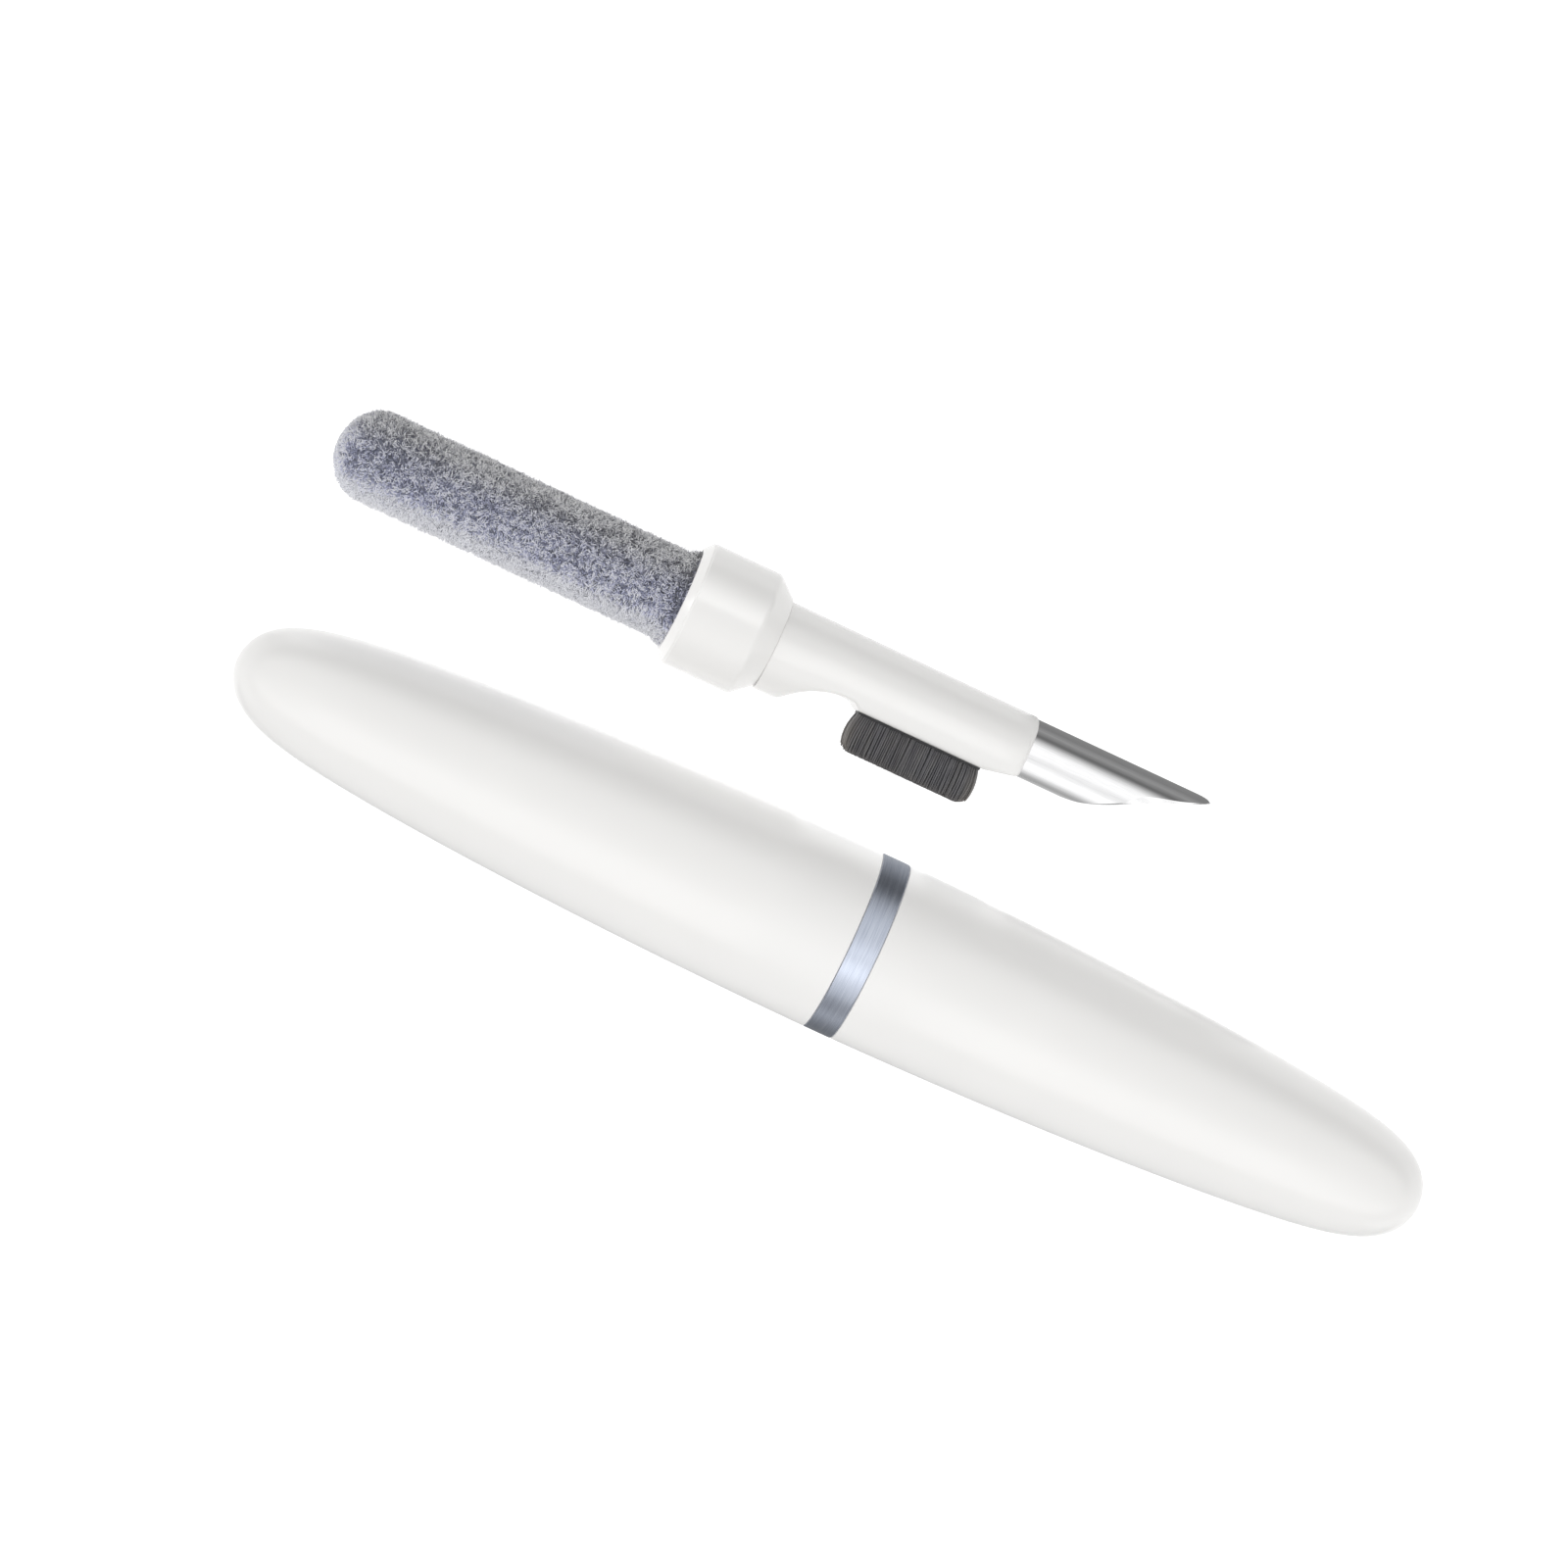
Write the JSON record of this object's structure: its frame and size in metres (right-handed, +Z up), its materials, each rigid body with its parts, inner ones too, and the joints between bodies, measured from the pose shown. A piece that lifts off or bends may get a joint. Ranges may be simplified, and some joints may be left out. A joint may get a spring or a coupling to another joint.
{
  "type": "cleaning pen",
  "caption": "Pocket cleaning pen: torpedo case with a metal trim ring, pull-off cap and storage socket, with a loose tool that has a flocked swab, strip brush and slant-cut nib.",
  "frame": {"origin": "middle of the overall footprint of the closed case and the tool beside it, on the surface that they lie on", "axes": "+X along the case from the rear shell's rounded end to the front cap's; +Y from the case towards the tool; +Z up"},
  "size_m": [0.12, 0.0368, 0.0175],
  "materials": {
    "shell_white": "warm white, soft gloss",
    "sleeve_white": "plain moulded white",
    "tool_white": "warm white, soft gloss",
    "ring_steel": "brushed round the axis, cool blue-grey",
    "nib_metal": "polished",
    "backing_dark": "dark moulded strip",
    "bristle": "dense dark grey nylon bristles",
    "foam": "closed foam",
    "flock": "short upright blue-grey flock fibres"
  },
  "bodies": {
    "rear_half": {"rear_shell": "shell_white", "trim_ring": "ring_steel", "coupling_sleeve": "sleeve_white"},
    "cap": {"front_cap": "shell_white"},
    "tool": {"collar": "tool_white", "barrel": "tool_white", "nib": "nib_metal", "brush_backing": "backing_dark", "brush_bristles": "bristle", "swab_stem": "sleeve_white", "swab_foam": "foam", "flock_cover": "flock"}
  },
  "joints": [
    {"name": "cap_pull", "type": "slide", "parent": "rear_half", "child": "cap", "axis": [1, 0, 0], "range_m": [0, 0.1]},
    {"name": "tool_aside", "type": "slide", "parent": "rear_half", "child": "tool", "axis": [0, 1, 0], "range_m": [0, 0.05]}
  ]
}
